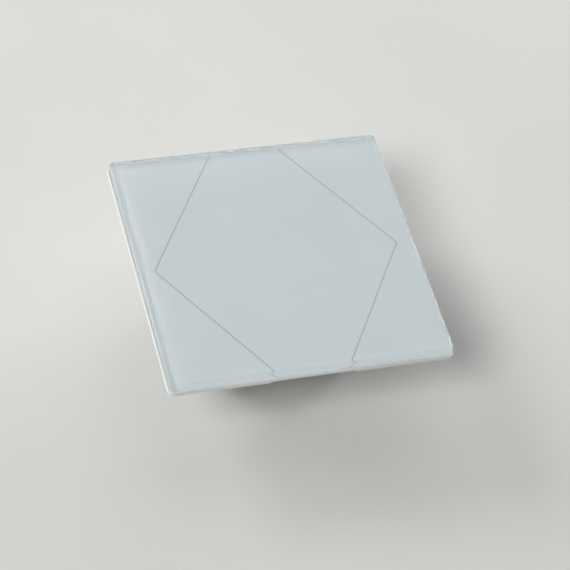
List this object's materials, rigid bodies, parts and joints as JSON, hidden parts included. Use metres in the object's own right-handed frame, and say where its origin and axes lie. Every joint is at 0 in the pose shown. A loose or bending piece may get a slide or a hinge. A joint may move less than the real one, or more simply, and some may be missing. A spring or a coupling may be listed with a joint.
{
  "type": "touch light switch",
  "caption": "Square glass touch switch with chevron-marked touch zones, carrier, wall-box insert, bus plug and mounting bracket.",
  "frame": {"origin": "centre of the insert's back face, which the switch rests on", "axes": "+Z out of the glass, +Y to the switch's top edge, +X to its right seen from the front"},
  "size_m": [0.085, 0.085, 0.032],
  "materials": {
    "glass": "clear float glass, polished edges",
    "enamel": "white back print",
    "line_print": "grey back print",
    "film": "adhesive film",
    "carrier": "fine-textured moulded plastic",
    "board": "solder-masked circuit board",
    "copper": "plated copper pads",
    "chip": "moulded chip package",
    "led": "lamp resin",
    "foam": "closed-cell foam",
    "connector": "moulded connector plastic",
    "contact": "plated contacts",
    "ferrite": "ferrite",
    "can": "satin can",
    "housing": "moulded plastic with a fine grain",
    "screw": "zinc-plated steel",
    "label": "bare polyester label",
    "plug": "moulded plastic",
    "button": "moulded plastic",
    "bracket": "zinc-plated sheet steel",
    "spring": "spring steel"
  },
  "bodies": {
    "mounting_bracket": {"mounting_bracket": "bracket", "grip_springs": "spring", "spring_rivets": "screw"},
    "touch_unit": {"front_glass": "glass", "back_print": "enamel", "touch_line_print": "line_print", "adhesive_film": "film", "front_carrier": "carrier", "touch_board": "board", "touch_electrodes": "copper", "touch_controller": "chip", "orientation_leds": "led", "climate_sensor": "chip", "sensor_seal": "foam", "board_socket": "connector", "board_header": "connector", "header_pins": "contact", "main_board": "board", "processor": "chip", "power_inductor": "ferrite", "smoothing_capacitors": "can", "click_sounder": "connector", "rear_housing": "housing", "rear_label": "label", "housing_screws": "screw", "board_screws": "screw", "terminal_header": "connector", "terminal_pins": "contact"},
    "terminal_plug": {"terminal_plug": "plug", "clamp_spring_1": "spring", "clamp_spring_2": "spring", "clamp_spring_3": "spring", "clamp_spring_4": "spring"},
    "release_button_1": {"release_button_1": "button"},
    "release_button_2": {"release_button_2": "button"},
    "release_button_3": {"release_button_3": "button"},
    "release_button_4": {"release_button_4": "button"}
  },
  "joints": [
    {"name": "unit_off_bracket", "type": "slide", "parent": "mounting_bracket", "child": "touch_unit", "axis": [0, 0, 1], "range_m": [0, 0.025]},
    {"name": "plug_out", "type": "slide", "parent": "touch_unit", "child": "terminal_plug", "axis": [0, 0, -1], "range_m": [0, 0.012]},
    {"name": "release_1", "type": "slide", "parent": "terminal_plug", "child": "release_button_1", "axis": [0, 0, 1], "range_m": [0, 0.0012], "stiffness_N_per_m": 1500, "springref_m": -0.0006, "deforming": ["clamp_spring_1"]},
    {"name": "release_2", "type": "slide", "parent": "terminal_plug", "child": "release_button_2", "axis": [0, 0, 1], "range_m": [0, 0.0012], "stiffness_N_per_m": 1500, "springref_m": -0.0006, "deforming": ["clamp_spring_2"]},
    {"name": "release_3", "type": "slide", "parent": "terminal_plug", "child": "release_button_3", "axis": [0, 0, 1], "range_m": [0, 0.0012], "stiffness_N_per_m": 1500, "springref_m": -0.0006, "deforming": ["clamp_spring_3"]},
    {"name": "release_4", "type": "slide", "parent": "terminal_plug", "child": "release_button_4", "axis": [0, 0, 1], "range_m": [0, 0.0012], "stiffness_N_per_m": 1500, "springref_m": -0.0006, "deforming": ["clamp_spring_4"]}
  ]
}
